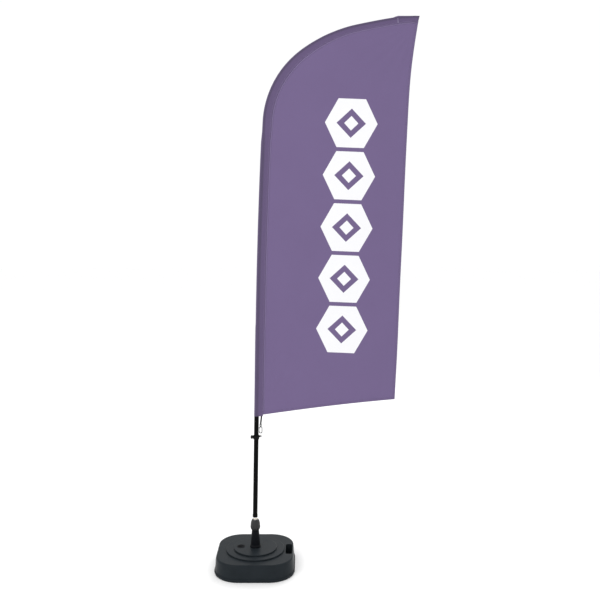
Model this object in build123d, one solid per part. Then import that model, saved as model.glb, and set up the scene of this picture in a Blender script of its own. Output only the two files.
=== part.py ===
from build123d import *
import math
import os

# A feather flag on a rotating pole, standing in a water-filled base.
# Sizes are in millimetres and angles in degrees. +Z is up, +X points to the flag's
# free edge, and the origin is the centre of the base's underside, on the spin axis.

# ------------------------------------------------------------ water tank
TANK_SIDE = 452.0
TANK_CORNER_R = 142.0
TANK_DRAFT = 4.5
TANK_DECK_Z = 95.0
TANK_WALL = 4.0
TANK_SHOULDER_R = 10.0
TANK_HEEL_R = 3.0
LIP_OUT = 3.0
LIP_LOW_Z = 7.0
LIP_HEIGHT = 10.0
STEP_RADII = (168.0, 124.0)
STEP_TOPS = (103.0, 111.0)
STEP_EDGE_R = 2.5

GRIP_X = 194.0
GRIP_WIDTH = 38.0
GRIP_LENGTH = 132.0
GRIP_CORNER_R = 13.0
GRIP_FLOOR_R = 7.0
GRIP_FLOOR_Z = 36.0

# ------------------------------------------------------------ filler neck and its cap
FILLER_X = -84.0
FILLER_POCKET_R = 24.0
FILLER_POCKET_Z = 98.0
NECK_BORE_R = 13.0
NECK_R = 16.0
NECK_TOP_Z = 105.0
SEAL_THICKNESS = 1.5
CAP_R = 21.5
CAP_LOW_Z = 100.0
CAP_TOP_Z = 112.0
CAP_DISH_R = 18.0
CAP_DISH_Z = 109.0
CAP_GRIP_WIDTH = 5.0
CAP_RIBS = 30
CAP_GROOVE_R = 0.7

# ------------------------------------------------------------ riser, collet and clamp nut
SOCKET_R = 23.05
SOCKET_FLOOR_Z = 20.0
RISER_FLANGE_R = 31.0
RISER_FLANGE_HEIGHT = 5.0
RISER_WAIST_Z = 180.0
RISER_WAIST_R = 23.4
RISER_SHOULDER_R = 21.0
RISER_NECK_Z = 208.0
RISER_NECK_R = 17.6
RISER_TOP_Z = 250.0
RISER_BORE_R = 10.05
CONE_LOW_Z = 232.0
CONE_TOP_R = 14.2
CONE_LOW_R = 11.6

COLLET_LOW_Z = 236.0
COLLET_TOP_Z = 257.0
COLLET_GAP = 0.3
COLLET_SLITS = 4
COLLET_SLIT_WIDTH = 1.6

NUT_LOW_Z = 210.0
NUT_TOP_Z = 272.0
NUT_WIDE_Z = 229.0
NUT_LOW_R = 20.5
NUT_WIDE_R = 28.4
NUT_TOP_R = 19.3
NUT_FLUTES = 10
NUT_FLUTE_R = 4.6
NUT_FLUTE_DEPTH = 2.4
NUT_RECESS_Z = 267.5
NUT_RECESS_R = 13.7

# ------------------------------------------------------------ stem and thrust bearing
STEM_LOW_Z = SOCKET_FLOOR_Z + 20.0
STEM_R = 10.0
STEM_BORE_R = 6.5
STEM_BORE_TOP_Z = 220.0
SHOULDER_R = 13.0
SHOULDER_TOP_Z = 274.5
SHOULDER_LOW_Z = 271.5
AXLE_R = 6.0
AXLE_TOP_Z = 392.0
RACE_THICKNESS = 2.5
RACE_GAP = 4.0
BALL_R = 1.95
BALL_COUNT = 11
BALL_CIRCLE_R = 9.6
CAGE_THICKNESS = 1.8

# ------------------------------------------------------------ rotating spigot
FIT = 0.05
SPIGOT_FLANGE_TOP_Z = 287.0
SPIGOT_R = 9.75
SPIGOT_BORE_R = 8.0
SPIGOT_TOP_Z = 397.0
BUSH_LENGTH = 16.0
BUSH_FIT = 0.03
LOWER_BUSH_Z = 289.0
UPPER_BUSH_Z = 369.0
CLIP_Z = 386.5
CLIP_THICKNESS = 1.2
CLIP_R = 7.8
CLIP_GAP_WIDTH = 5.0

# ------------------------------------------------------------ mast
MAST_FOOT_X = -1.0
MAST_FOOT_Z = 287.4
MAST_LEAN = 1.1
# Each run of the loaded mast is (length, turn). A turn of zero is a straight run.
MAST_RUNS = ((1100.0, 0.0), (1140.0, 1.9), (445.0, 50.7), (330.0, 24.0), (230.0, 4.1), (115.0, 8.2))
LOWER_TUBE_R = 13.5
LOWER_TUBE_BORE_R = 11.0
LOWER_TUBE_END = 1080.0
MID_TUBE_R = 10.95
MID_TUBE_BORE_R = 9.0
MID_TUBE_START = 1000.0
MID_TUBE_END = 2120.0
TIP_START = 2060.0
TIP_END = 3342.0
TIP_ROOT_R = 6.5
TIP_END_R = 3.5
TIP_SOCKET_BELOW = 60.0
TIP_SOCKET_ABOVE = 14.0
FOOT_RING_R = 14.6
FOOT_RING_HEIGHT = 14.0
STOP_RING_LENGTH = 18.0
TIP_CAP_R = 6.2
TIP_CAP_LENGTH = 16.0

# ------------------------------------------------------------ flag
SLEEVE_START = 593.0
SLEEVE_END = 3360.0
SLEEVE_SKIN = 1.3
# Each pair is (distance along the mast, width of the sleeve from its outer edge to its seam).
SLEEVE_WIDTHS = ((0.0, 51.0), (2560.0, 50.0), (2980.0, 36.0), (3360.0, 35.0))
SLEEVE_BORES = ((0.0, 14.3), (1185.0, 14.3), (1245.0, 11.8), (2150.0, 11.8), (2200.0, 8.2), (3360.0, 7.2))
SLEEVE_STEP = 60.0
CLOTH_THICKNESS = 3.0
SEAM_GAP = 0.6
TRAILING_EDGE = ((896.0, 3050.0), (871.0, 2857.0), (848.0, 2484.0), (823.0, 1713.0), (796.0, 978.0))
BOTTOM_EDGE = ((796.0, 978.0), (650.0, 972.0), (429.0, 944.0), (160.0, 904.0), (78.0, 896.0))

# ------------------------------------------------------------ tension collar and snap hook
COLLAR_S = 470.0
COLLAR_BORE_R = 14.1
COLLAR_R = 17.0
COLLAR_HEIGHT = 22.0
BOSS_R = 8.0
BOSS_REACH = 18.0
SCREW_BORE_R = 3.0
SCREW_R = 2.95
SCREW_TIP = 14.9
PAD_TIP = 13.9
PAD_R = 2.9
KNOB_R = 10.0
KNOB_NEAR = 18.4
KNOB_FAR = 32.0
KNOB_FLUTES = 14
KNOB_FLUTE_R = 1.6
KNOB_CHAMFER = 1.2
HOOK_X = 33.5
LUG_Z = 762.0
LUG_R = 5.4
LUG_HOLE_R = 2.7
LUG_THICKNESS = 5.0
RING_WIRE_R = 1.1
RING_R = 11.0
RING_LOW_Z = 762.9
HOOK_WIRE_R = 2.3
HOOK_HALF_WIDTH = 7.4
HOOK_LOW_ARC_Z = 788.0
HOOK_HIGH_ARC_Z = 810.4
GATE_LOW_Z = 790.4
GATE_PIVOT_Z = 810.6
GATE_R = 1.7
GATE_BAR_DROP = 3.7
GATE_PIN_R = 0.6
BARREL_R = 2.7
BARREL_TOP_Z = 822.0
EYE_LOW_Z = 823.6
EYE_HIGH_Z = 830.0
EYE_HALF_WIDTH = 6.2
EYE_WIRE_R = 1.2
STRAP_WIDTH = 9.0
STRAP_THICKNESS = 1.6
STRAP_LOW_Z = 834.5
STRAP_TOP_Z = 878.6


# ------------------------------------------------------------ shape helpers
def rod(radius, low, high, x=0.0, y=0.0):
    """An upright cylinder between two heights."""
    body = Cylinder(radius, high - low, align=(Align.CENTER, Align.CENTER, Align.MIN))
    return Pos(x, y, low) * body


def tube(outer, inner, low, high, x=0.0, y=0.0):
    """An upright tube between two heights."""
    return rod(outer, low, high, x, y) - rod(inner, low - 1, high + 1, x, y)


def block(x_low, x_high, y_low, y_high, z_low, z_high):
    """A box given by its faces."""
    box = Box(x_high - x_low, y_high - y_low, z_high - z_low)
    return Pos((x_low + x_high) / 2, (y_low + y_high) / 2, (z_low + z_high) / 2) * box


def rounded_block(width, length, corner, low, high, x=0.0, y=0.0):
    """An upright prism with round corners."""
    outline = Pos(x, y, low) * RectangleRounded(width, length, corner)
    return extrude(outline, high - low)


def turned(points, x=0.0, y=0.0):
    """A solid turned about an upright axis from (radius, height) points."""
    outline = Plane.XZ * make_face(Polyline(*points, close=True))
    return Pos(x, y, 0) * revolve(outline, Axis.Z)


def between(pairs, place):
    """Straight-line value at a place in a list of (place, value) pairs."""
    for (start, first), (end, last) in zip(pairs, pairs[1:]):
        if place <= end:
            return first + (last - first) * (place - start) / (end - start)
    return pairs[-1][1]


# ------------------------------------------------------------ mast line
def mast_runs():
    """Each run of the mast as its start distance, start plane, length and turn."""
    x, z, lean, start = MAST_FOOT_X, MAST_FOOT_Z, MAST_LEAN, 0.0
    for length, turn in MAST_RUNS:
        yield start, run_plane(x, z, lean), length, turn
        x, z = run_point(x, z, lean, length, turn, length)
        lean += turn
        start += length


def run_plane(x, z, lean):
    """The plane across the mast at a point, with its X towards the flag."""
    angle = math.radians(lean)
    across = (math.cos(angle), 0, -math.sin(angle))
    along = (math.sin(angle), 0, math.cos(angle))
    return Plane(origin=(x, 0, z), x_dir=across, z_dir=along)


def run_point(x, z, lean, length, turn, distance):
    """The point at a distance along a run that starts at x, z with a lean."""
    first = math.radians(lean)
    if turn == 0:
        return x + distance * math.sin(first), z + distance * math.cos(first)
    radius = length / math.radians(turn)
    last = first + distance / radius
    return x + radius * (math.cos(first) - math.cos(last)), z + radius * (math.sin(last) - math.sin(first))


def mast_plane(place):
    """The plane across the mast at a distance from its foot."""
    for start, plane, length, turn in mast_runs():
        if place <= start + length:
            break
    distance = place - start
    lean = math.degrees(math.atan2(plane.z_dir.X, plane.z_dir.Z))
    x, z = run_point(plane.origin.X, plane.origin.Z, lean, length, turn, distance)
    return run_plane(x, z, lean + turn * distance / length)


def along_mast(section, first, last):
    """A section carried along the mast line between two distances from its foot."""
    solids = []
    for start, _, length, turn in mast_runs():
        low = max(first, start)
        high = min(last, start + length)
        if high - low < 0.001:
            continue
        plane = mast_plane(low + 1e-9)
        outline = plane * section
        if turn == 0:
            solids.append(extrude(outline, high - low, dir=plane.z_dir))
            continue
        radius = length / math.radians(turn)
        centre = plane.origin + plane.x_dir * radius
        solids.append(revolve(outline, Axis(centre, (0, 1, 0)), turn * (high - low) / length))
    whole = solids[0]
    for piece in solids[1:]:
        whole = whole + piece
    return whole


def sleeve_stations():
    """Distances along the mast at which the sleeve's section is set."""
    count = math.ceil((SLEEVE_END - SLEEVE_START) / SLEEVE_STEP)
    step = (SLEEVE_END - SLEEVE_START) / count
    return [SLEEVE_START + step * index for index in range(count + 1)]


# ------------------------------------------------------------ base
def drafted_block(inset, high):
    """An upright block with the tank's outline and draft, a little inside its outer skin."""
    side = TANK_SIDE - 2 * inset
    return extrude(RectangleRounded(side, side, TANK_CORNER_R - inset), high, taper=TANK_DRAFT)


def slab(low, high):
    """The layer of space between two heights, wider than the tank."""
    return block(-TANK_SIDE, TANK_SIDE, -TANK_SIDE, TANK_SIDE, low, high)


def tank_outside():
    """The tank's outer shape: drafted sides, heel lip and the two deck steps."""
    outer = drafted_block(0, TANK_DECK_Z)
    outer = fillet(outer.faces().sort_by(Axis.Z)[-1].edges(), TANK_SHOULDER_R)
    outer = fillet(outer.faces().sort_by(Axis.Z)[0].edges(), TANK_HEEL_R)
    lip_side = TANK_SIDE + 2 * LIP_OUT
    lip = rounded_block(lip_side, lip_side, TANK_CORNER_R + LIP_OUT, LIP_LOW_Z, LIP_LOW_Z + LIP_HEIGHT)
    outer += fillet(lip.edges().filter_by(Plane.XY), LIP_OUT - 0.1)
    for radius, top in zip(STEP_RADII, STEP_TOPS):
        step = rod(radius, TANK_DECK_Z - 1, top)
        outer += fillet(step.faces().sort_by(Axis.Z)[-1].edges(), STEP_EDGE_R)
    return outer


def tank_hollow():
    """The water space: it goes round the socket, the filler pocket and the carry grip."""
    hollow = drafted_block(TANK_WALL, TANK_DECK_Z - TANK_WALL) & slab(TANK_WALL, TANK_DECK_Z)
    for radius, top in zip(STEP_RADII, STEP_TOPS):
        hollow += rod(radius - TANK_WALL, TANK_DECK_Z - TANK_WALL - 1, top - TANK_WALL)
    hollow -= rod(SOCKET_R + TANK_WALL, 0, STEP_TOPS[-1])
    hollow -= rod(FILLER_POCKET_R + TANK_WALL, FILLER_POCKET_Z - TANK_WALL, STEP_TOPS[-1], FILLER_X)
    width = TANK_SIDE - GRIP_X
    return hollow - rounded_block(
        width, GRIP_LENGTH + 2 * TANK_WALL, GRIP_CORNER_R + TANK_WALL, GRIP_FLOOR_Z - TANK_WALL,
        TANK_DECK_Z, GRIP_X - GRIP_WIDTH / 2 - TANK_WALL + width / 2
    )


def water_tank():
    """The whole blow-moulded tank: stepped deck, grip pocket, filler neck and socket."""
    tank = tank_outside() - tank_hollow()
    tank -= rod(SOCKET_R, SOCKET_FLOOR_Z, STEP_TOPS[-1] + 1)
    tank -= rod(FILLER_POCKET_R, FILLER_POCKET_Z, STEP_TOPS[-1] + 1, FILLER_X)
    tank += rod(NECK_R, FILLER_POCKET_Z - 1, NECK_TOP_Z, FILLER_X)
    tank -= rod(NECK_BORE_R, FILLER_POCKET_Z - 2 * TANK_WALL, NECK_TOP_Z + 1, FILLER_X)
    grip = rounded_block(GRIP_WIDTH, GRIP_LENGTH, GRIP_CORNER_R, GRIP_FLOOR_Z, TANK_DECK_Z + 1, GRIP_X)
    return tank - fillet(grip.faces().sort_by(Axis.Z)[0].edges(), GRIP_FLOOR_R)


def tank_pieces():
    """The tank's one moulding as floor, wall and deck, so that each is a simple open shape."""
    tank = water_tank()
    shoulder = TANK_DECK_Z - TANK_SHOULDER_R
    ring = slab(TANK_WALL, shoulder) - drafted_block(TANK_WALL, TANK_DECK_Z)
    wall = tank & ring
    upper = tank & slab(TANK_WALL, STEP_TOPS[-1] + 1)
    return {"tank_floor": tank & slab(-1, TANK_WALL), "tank_wall": wall, "tank_deck": upper - ring}


def riser_tube():
    """The tapered upright: it plugs into the tank and holds the collet's cone."""
    deck = STEP_TOPS[-1]
    return turned((
        (RISER_BORE_R, SOCKET_FLOOR_Z), (SOCKET_R - FIT, SOCKET_FLOOR_Z), (SOCKET_R - FIT, deck),
        (RISER_FLANGE_R, deck), (RISER_FLANGE_R, deck + RISER_FLANGE_HEIGHT),
        (RISER_FLANGE_R - 4, deck + 3 * RISER_FLANGE_HEIGHT), (RISER_WAIST_R, RISER_WAIST_Z),
        (RISER_SHOULDER_R, RISER_NECK_Z), (RISER_NECK_R, RISER_NECK_Z),
        (RISER_NECK_R, RISER_TOP_Z), (CONE_TOP_R, RISER_TOP_Z),
        (CONE_LOW_R, CONE_LOW_Z), (RISER_BORE_R, CONE_LOW_Z),
    ))


def filler_seal():
    """The flat washer between the filler neck and its cap."""
    low = NECK_TOP_Z + 0.05
    return tube(NECK_R - 0.2, NECK_BORE_R + 0.3, low, low + SEAL_THICKNESS, FILLER_X)


def filler_cap():
    """The screw cap: ribbed rim, dished top and a grip bar across the dish."""
    ceiling = NECK_TOP_Z + SEAL_THICKNESS + 0.1
    cap = rod(CAP_R, CAP_LOW_Z, CAP_TOP_Z, FILLER_X)
    for index in range(CAP_RIBS):
        groove = rod(CAP_GROOVE_R, CAP_LOW_Z - 1, CAP_TOP_Z + 1, CAP_R)
        cap -= Pos(FILLER_X, 0, 0) * Rot(0, 0, 360 / CAP_RIBS * index) * groove
    cap -= rod(NECK_R + 0.4, CAP_LOW_Z - 1, ceiling, FILLER_X)
    cap -= rod(CAP_DISH_R, CAP_DISH_Z, CAP_TOP_Z + 1, FILLER_X)
    bar = rounded_block(2 * CAP_DISH_R + 1, CAP_GRIP_WIDTH, 2, CAP_DISH_Z - 0.5, CAP_TOP_Z, FILLER_X)
    return cap + bar


def collet():
    """The slit clamping ring that the nut presses into the riser's cone."""
    slope = (CONE_TOP_R - CONE_LOW_R) / (RISER_TOP_Z - CONE_LOW_Z)
    low_r = CONE_LOW_R + slope * (COLLET_LOW_Z - CONE_LOW_Z) - COLLET_GAP
    top_r = CONE_TOP_R - COLLET_GAP
    body = turned((
        (STEM_R + FIT, COLLET_LOW_Z), (low_r, COLLET_LOW_Z), (top_r, RISER_TOP_Z),
        (top_r, COLLET_TOP_Z), (STEM_R + FIT, COLLET_TOP_Z),
    ))
    for index in range(COLLET_SLITS):
        slit = block(0, CONE_TOP_R + 2, -COLLET_SLIT_WIDTH / 2, COLLET_SLIT_WIDTH / 2,
                     COLLET_LOW_Z - 1, COLLET_TOP_Z - 4)
        body -= Rot(0, 0, 360 / COLLET_SLITS * index) * slit
    return body


def clamp_nut():
    """The fluted hand nut that closes the collet on the stem."""
    body = turned((
        (0, NUT_LOW_Z), (NUT_LOW_R, NUT_LOW_Z), (NUT_WIDE_R - 2, NUT_WIDE_Z - 9),
        (NUT_WIDE_R, NUT_WIDE_Z), (NUT_WIDE_R - 2, NUT_TOP_Z - 18), (NUT_TOP_R + 3, NUT_TOP_Z - 5),
        (NUT_TOP_R, NUT_TOP_Z), (0, NUT_TOP_Z),
    ))
    for index in range(NUT_FLUTES):
        flute = rod(NUT_FLUTE_R, NUT_LOW_Z - 1, NUT_TOP_Z + 1, NUT_WIDE_R + NUT_FLUTE_R - NUT_FLUTE_DEPTH)
        body -= Rot(0, 0, 360 / NUT_FLUTES * index) * flute
    body -= rod(RISER_NECK_R + 0.4, NUT_LOW_Z - 1, RISER_TOP_Z + 1)
    body -= rod(CONE_TOP_R + 0.4, RISER_TOP_Z, COLLET_TOP_Z + FIT)
    body -= rod(STEM_R + 0.35, COLLET_TOP_Z - 1, NUT_TOP_Z + 1)
    return body - rod(NUT_RECESS_R, NUT_RECESS_Z, NUT_TOP_Z + 1)


# ------------------------------------------------------------ stem and bearing
def stem():
    """The stem that slides in the riser, with its shoulder and the spigot's axle."""
    groove_low = CLIP_Z - FIT
    groove_high = CLIP_Z + CLIP_THICKNESS + FIT
    return turned((
        (STEM_BORE_R, STEM_LOW_Z), (STEM_R, STEM_LOW_Z), (STEM_R, SHOULDER_LOW_Z),
        (SHOULDER_R, SHOULDER_LOW_Z), (SHOULDER_R, SHOULDER_TOP_Z), (AXLE_R, SHOULDER_TOP_Z),
        (AXLE_R, groove_low), (AXLE_R - 1, groove_low), (AXLE_R - 1, groove_high), (AXLE_R, groove_high),
        (AXLE_R, AXLE_TOP_Z - 1), (AXLE_R - 1, AXLE_TOP_Z), (0, AXLE_TOP_Z),
        (0, STEM_BORE_TOP_Z), (STEM_BORE_R, STEM_BORE_TOP_Z),
    ))


def stem_stop():
    """The plug at the bottom of the riser that the stem stands on."""
    return rod(RISER_BORE_R - FIT, SOCKET_FLOOR_Z, STEM_LOW_Z)


def race(low):
    """One washer of the thrust bearing."""
    return tube(SHOULDER_R - 0.1, AXLE_R + FIT, low, low + RACE_THICKNESS)


def ball_centres():
    """Angles of the balls round the bearing."""
    return [360 / BALL_COUNT * index for index in range(BALL_COUNT)]


def ball_z():
    """Height of the balls' centres."""
    return SHOULDER_TOP_Z + RACE_THICKNESS + RACE_GAP / 2


def bearing_cage():
    """The flat ring that spaces the balls."""
    low = ball_z() - CAGE_THICKNESS / 2
    cage = tube(SHOULDER_R - 0.4, AXLE_R + 0.4, low, low + CAGE_THICKNESS)
    for angle in ball_centres():
        pocket = rod(BALL_R + FIT, low - 1, low + CAGE_THICKNESS + 1, BALL_CIRCLE_R)
        cage -= Rot(0, 0, angle) * pocket
    return cage


def bearing_balls():
    """The balls of the thrust bearing."""
    ball = Pos(BALL_CIRCLE_R, 0, ball_z()) * Sphere(BALL_R)
    return Compound(children=[Rot(0, 0, angle) * ball for angle in ball_centres()])


def spigot():
    """The rotating spigot: a flange on the bearing and a tube that fills the pole's bore."""
    low = SHOULDER_TOP_Z + 2 * RACE_THICKNESS + RACE_GAP
    body = rod(SHOULDER_R, low, SPIGOT_FLANGE_TOP_Z) + rod(SPIGOT_R, low, SPIGOT_TOP_Z)
    body -= rod(AXLE_R + 0.3, low - 1, LOWER_BUSH_Z)
    return body - rod(SPIGOT_BORE_R, LOWER_BUSH_Z, SPIGOT_TOP_Z + 1)


def bush(low):
    """A plain bush between the spigot and the axle."""
    return tube(SPIGOT_BORE_R - BUSH_FIT, AXLE_R + FIT, low, low + BUSH_LENGTH)


def retaining_clip():
    """The snap ring in the axle's groove, which keeps the spigot on."""
    clip = tube(CLIP_R, AXLE_R - 1 + FIT, CLIP_Z, CLIP_Z + CLIP_THICKNESS)
    half = CLIP_GAP_WIDTH / 2
    return clip - block(0, CLIP_R + 1, -half, half, CLIP_Z - 1, CLIP_Z + CLIP_THICKNESS + 1)


# ------------------------------------------------------------ mast
def pole_foot():
    """The plastic ferrule round the foot of the lower tube."""
    return along_mast(Circle(FOOT_RING_R) - Circle(LOWER_TUBE_R + 0.02), 0, FOOT_RING_HEIGHT)


def lower_tube():
    """The aluminium lower tube."""
    return along_mast(Circle(LOWER_TUBE_R) - Circle(LOWER_TUBE_BORE_R), 0, LOWER_TUBE_END)


def mid_tube():
    """The middle tube, which plugs into the lower one."""
    return along_mast(Circle(MID_TUBE_R) - Circle(MID_TUBE_BORE_R), MID_TUBE_START, MID_TUBE_END)


def stop_ring():
    """The ring on the middle tube that seats on the lower tube's end."""
    section = Circle(LOWER_TUBE_R) - Circle(MID_TUBE_R + 0.02)
    return along_mast(section, LOWER_TUBE_END + FIT, LOWER_TUBE_END + STOP_RING_LENGTH)


def tip_socket():
    """The reducer that joins the fibreglass tip to the middle tube."""
    bore = Circle(TIP_ROOT_R + FIT)
    shank = Circle(MID_TUBE_BORE_R - 0.02) - bore
    plug = along_mast(shank, MID_TUBE_END - TIP_SOCKET_BELOW, MID_TUBE_END + 1)
    head = along_mast(Circle(MID_TUBE_R) - bore, MID_TUBE_END + FIT, MID_TUBE_END + TIP_SOCKET_ABOVE)
    return plug + head


def tip_rod():
    """The tapered fibreglass tip that takes the bend."""
    straight_end = MID_TUBE_END + 2 * TIP_SOCKET_ABOVE
    root = along_mast(Circle(TIP_ROOT_R), TIP_START, straight_end)
    count = math.ceil((TIP_END - straight_end) / SLEEVE_STEP)
    sections = []
    for index in range(count + 1):
        share = index / count
        radius = TIP_ROOT_R + (TIP_END_R - TIP_ROOT_R) * share
        sections.append(mast_plane(straight_end + (TIP_END - straight_end) * share) * Circle(radius))
    return root + loft(sections)


def tip_cap():
    """The round plastic cap on the tip's end."""
    low = TIP_END - TIP_CAP_LENGTH + 4
    body = along_mast(Circle(TIP_CAP_R), low, low + TIP_CAP_LENGTH)
    end = max(body.faces(), key=lambda face: face.center().X)
    return fillet(end.edges(), TIP_CAP_R / 2) - along_mast(Circle(TIP_END_R + 0.1), low - 1, TIP_END + FIT)


# ------------------------------------------------------------ flag
def sleeve_section(place):
    """The sleeve's outer section: round at the mast and flat at the seam."""
    outer = between(SLEEVE_BORES, place) + SLEEVE_SKIN
    seam = between(SLEEVE_WIDTHS, place) - outer
    half = CLOTH_THICKNESS / 2
    front = ThreePointArc((0, -outer), (-outer, 0), (0, outer))
    upper = Line((0, outer), (seam, half))
    edge = Line((seam, half), (seam, -half))
    lower = Line((seam, -half), (0, -outer))
    return mast_plane(place) * make_face([front, upper, edge, lower])


def pole_sleeve():
    """The doubled cloth sleeve that the mast runs through, closed at its tip end."""
    places = sleeve_stations()
    outer = loft([sleeve_section(place) for place in places], ruled=True)
    bores = [mast_plane(place) * Circle(between(SLEEVE_BORES, place)) for place in places[:-1]]
    first = mast_plane(SLEEVE_START - 5) * Circle(SLEEVE_BORES[0][1])
    last = mast_plane(SLEEVE_END - 6) * Circle(SLEEVE_BORES[-1][1])
    return outer - loft([first] + bores + [last], ruled=True)


def seam_points():
    """The line of the seam, from the flag's foot to its tip."""
    points = []
    for place in sleeve_stations():
        plane = mast_plane(place)
        seam = between(SLEEVE_WIDTHS, place) - between(SLEEVE_BORES, place) - SLEEVE_SKIN + SEAM_GAP
        point = plane.origin + plane.x_dir * seam
        points.append((point.X, point.Z))
    return points


def flag_panel():
    """The flag's single-layer cloth, from the seam to the free edge."""
    seam = seam_points()[1:]
    leading = Polyline(*seam)
    top = Line(seam[-1], TRAILING_EDGE[0])
    trailing = Spline(*TRAILING_EDGE)
    bottom = Spline(*BOTTOM_EDGE)
    corner = Line(BOTTOM_EDGE[-1], seam[0])
    outline = Plane.XZ * make_face([leading, top, trailing, bottom, corner])
    return extrude(outline, CLOTH_THICKNESS / 2, both=True)


# ------------------------------------------------------------ tension collar
def on_collar(shape):
    """Place a shape that is drawn about the collar's centre, with Z along the mast."""
    return mast_plane(COLLAR_S) * shape


def sideways(radius, near, far):
    """A cylinder that points away from the flag, between two distances from the mast's axis."""
    body = Cylinder(radius, far - near, align=(Align.CENTER, Align.CENTER, Align.MIN))
    return Rot(0, -90, 0) * Pos(0, 0, near) * body


def lug_arm():
    """The flat arm on the collar, with the ring's hole near its end."""
    centre = on_collar(Location((0, 0, 0))).position
    arm = block(centre.X + COLLAR_BORE_R + 1, HOOK_X, -LUG_THICKNESS / 2, LUG_THICKNESS / 2,
                LUG_Z - LUG_R, LUG_Z + LUG_R)
    end = Pos(HOOK_X, 0, LUG_Z) * Rot(90, 0, 0) * Cylinder(LUG_R, LUG_THICKNESS)
    hole = Pos(HOOK_X, 0, LUG_Z) * Rot(90, 0, 0) * Cylinder(LUG_HOLE_R, LUG_THICKNESS + 2)
    return arm + end - hole


def tension_collar():
    """The collar that slides on the pole, with a screw boss and the ring's lug."""
    half = COLLAR_HEIGHT / 2
    body = rod(COLLAR_R, -half, half) + sideways(BOSS_R, COLLAR_BORE_R, BOSS_REACH)
    body = on_collar(body) + lug_arm()
    bores = rod(COLLAR_BORE_R, -half - 1, half + 1) + sideways(SCREW_BORE_R, 1, BOSS_REACH + 1)
    return body - on_collar(bores)


def screw_pad():
    """The nylon pad at the screw's tip, which presses on the pole."""
    return on_collar(sideways(PAD_R, PAD_TIP, SCREW_TIP - FIT))


def thumb_screw():
    """The fluted thumb screw that locks the collar."""
    knob = sideways(KNOB_R, KNOB_NEAR, KNOB_FAR)
    knob = chamfer(knob.edges().filter_by(GeomType.CIRCLE), KNOB_CHAMFER)
    for index in range(KNOB_FLUTES):
        flute = Pos(0, 0, KNOB_R + 0.6) * sideways(KNOB_FLUTE_R, KNOB_NEAR - 1, KNOB_FAR + 1)
        knob -= Rot(360 / KNOB_FLUTES * index, 0, 0) * flute
    return on_collar(knob + sideways(SCREW_R, SCREW_TIP, KNOB_FAR - 1))


def lug_ring():
    """The wire ring that links the collar to the snap hook."""
    return Pos(HOOK_X, 0, RING_LOW_Z + RING_R) * Rot(0, 90, 0) * Torus(RING_R, RING_WIRE_R)


# ------------------------------------------------------------ snap hook and strap
def wire_loop(half_width, low, high, radius):
    """A closed upright loop of round wire with straight sides and round ends, about X = 0."""
    loop = rod(radius, low, high, -half_width) + rod(radius, low, high, half_width)
    reach = half_width + radius + 1
    for height, keep_low, keep_high in ((low, low - reach, low), (high, high, high + reach)):
        ring = Pos(0, 0, height) * Rot(90, 0, 0) * Torus(half_width, radius)
        loop += ring & block(-reach, reach, -reach, reach, keep_low, keep_high)
    return loop


def hook_body():
    """The snap hook's bent body, open on the side where the gate closes it."""
    loop = wire_loop(HOOK_HALF_WIDTH, HOOK_LOW_ARC_Z, HOOK_HIGH_ARC_Z, HOOK_WIRE_R)
    loop += rod(BARREL_R, HOOK_HIGH_ARC_Z + HOOK_HALF_WIDTH, BARREL_TOP_Z)
    side = -HOOK_HALF_WIDTH
    loop -= block(side - 3, side + 3, -4, 4, GATE_LOW_Z - 0.4, GATE_PIVOT_Z - 2.4)
    loop -= block(side - 3, side + 3, -1.05, 1.05, GATE_PIVOT_Z - 3, GATE_PIVOT_Z + 2.4)
    loop -= Pos(side, 0, GATE_PIVOT_Z) * Rot(90, 0, 0) * Cylinder(GATE_PIN_R + 0.02, 10)
    loop -= rod(EYE_WIRE_R + FIT, HOOK_HIGH_ARC_Z + 2, BARREL_TOP_Z + 1)
    return Pos(HOOK_X, 0, 0) * loop


def hook_gate():
    """The spring gate of the snap hook."""
    side = -HOOK_HALF_WIDTH
    bar = rod(GATE_R, GATE_LOW_Z, GATE_PIVOT_Z - GATE_BAR_DROP, side)
    tongue = block(side - 1.3, side + 1.3, -0.8, 0.8, GATE_PIVOT_Z - GATE_BAR_DROP - 0.7, GATE_PIVOT_Z)
    tip = Pos(side, 0, GATE_PIVOT_Z) * Rot(90, 0, 0) * Cylinder(1.3, 1.6)
    pin = Pos(side, 0, GATE_PIVOT_Z) * Rot(90, 0, 0) * Cylinder(GATE_PIN_R + FIT, 10)
    return Pos(HOOK_X, 0, 0) * (bar + tongue + tip - pin)


def gate_pin():
    """The rivet that the gate turns on."""
    return Pos(HOOK_X - HOOK_HALF_WIDTH, 0, GATE_PIVOT_Z) * Rot(90, 0, 0) * Cylinder(GATE_PIN_R, 4.2)


def swivel_eye():
    """The hook's swivelling eye, riveted through its barrel."""
    bars = []
    for height in (EYE_LOW_Z, EYE_HIGH_Z):
        bars.append(Pos(0, 0, height) * Rot(0, 90, 0) * Cylinder(EYE_WIRE_R, 2 * EYE_HALF_WIDTH))
    for side in (-EYE_HALF_WIDTH, EYE_HALF_WIDTH):
        bars.append(rod(EYE_WIRE_R, EYE_LOW_Z, EYE_HIGH_Z, side))
        bars.append(Pos(side, 0, EYE_LOW_Z) * Sphere(EYE_WIRE_R))
        bars.append(Pos(side, 0, EYE_HIGH_Z) * Sphere(EYE_WIRE_R))
    post_low = HOOK_HIGH_ARC_Z + HOOK_HALF_WIDTH - HOOK_WIRE_R - 1.9
    eye = rod(EYE_WIRE_R, post_low, EYE_LOW_Z) + rod(1.9, post_low, post_low + 1.2)
    for bar in bars:
        eye += bar
    return Pos(HOOK_X, 0, 0) * eye


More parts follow.
